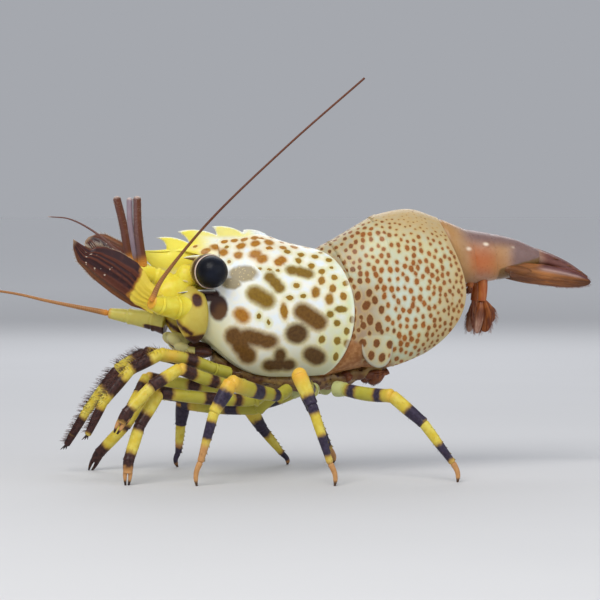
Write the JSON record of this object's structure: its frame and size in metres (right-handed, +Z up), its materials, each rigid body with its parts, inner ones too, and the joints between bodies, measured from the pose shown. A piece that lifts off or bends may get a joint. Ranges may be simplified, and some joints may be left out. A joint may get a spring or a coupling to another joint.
{
  "type": "caridean shrimp",
  "caption": "Life-size still model of a spotted shrimp standing on banded legs, with a hooked toothed rostrum, arched abdomen, closed tail fan and long feelers.",
  "frame": {"origin": "middle of the whole animal's box, feelers included, on the floor that its feet stand on", "axes": "+Z up; the head points along -X and the tail along +X; the animal's right side is +Y"},
  "size_m": [0.107, 0.0442, 0.0544],
  "materials": {
    "carapace_shell": "glossy white to pale yellow shell with brown and olive blotches",
    "face_shell": "glossy lemon-yellow translucent shell",
    "mouth_underside": "yellow-green skin with dark brown marks",
    "eye_cornea": "polished blue-black",
    "abdomen_shell": "cream to tan satin shell with orange-brown spots",
    "tail_shell": "translucent pinkish orange-brown shell",
    "antennal_scale": "translucent dark red-brown over a yellow base, with pale dots",
    "feeler": "orange-brown to dark red-brown, ringed",
    "banded_leg": "yellow with dark purple-brown bands and pink tips",
    "swimmeret": "red-brown, feathery"
  },
  "bodies": {
    "root": {"antenna_base_L": "face_shell", "antenna_base_R": "face_shell", "antenna_flagellum_L": "feeler", "antenna_flagellum_R": "feeler", "antenna_peduncle_L": "face_shell", "antenna_peduncle_R": "face_shell", "antennal_scale_L": "antennal_scale", "antennal_scale_R": "antennal_scale", "antennule_inner_L": "feeler", "antennule_inner_R": "feeler", "antennule_outer_L": "feeler", "antennule_outer_R": "feeler", "antennule_peduncle_L": "face_shell", "antennule_peduncle_R": "face_shell", "carapace": "carapace_shell", "eye_L": "eye_cornea", "eye_R": "eye_cornea", "eyestalk_L": "face_shell", "eyestalk_R": "face_shell", "head": "face_shell", "maxilliped_L": "banded_leg", "maxilliped_R": "banded_leg", "mouthparts": "mouth_underside", "pereiopod_1_L": "banded_leg", "pereiopod_1_R": "banded_leg", "pereiopod_2_L": "banded_leg", "pereiopod_2_R": "banded_leg", "pereiopod_3_L": "banded_leg", "pereiopod_3_R": "banded_leg", "pereiopod_4_L": "banded_leg", "pereiopod_4_R": "banded_leg", "pereiopod_5_L": "banded_leg", "pereiopod_5_R": "banded_leg", "pleonite_1": "abdomen_shell", "pleonite_2": "abdomen_shell", "pleonite_3": "abdomen_shell", "pleonite_4": "tail_shell", "pleonite_5": "tail_shell", "pleonite_6": "tail_shell", "pleopod_1_L": "swimmeret", "pleopod_1_R": "swimmeret", "pleopod_2_L": "swimmeret", "pleopod_2_R": "swimmeret", "pleopod_3_L": "swimmeret", "pleopod_3_R": "swimmeret", "pleopod_4_L": "swimmeret", "pleopod_4_R": "swimmeret", "pleopod_5_L": "swimmeret", "pleopod_5_R": "swimmeret", "rostrum": "carapace_shell", "telson": "tail_shell", "thorax_underside": "mouth_underside", "uropod_inner_L": "tail_shell", "uropod_inner_R": "tail_shell", "uropod_outer_L": "tail_shell", "uropod_outer_R": "tail_shell"}
  },
  "joints": []
}
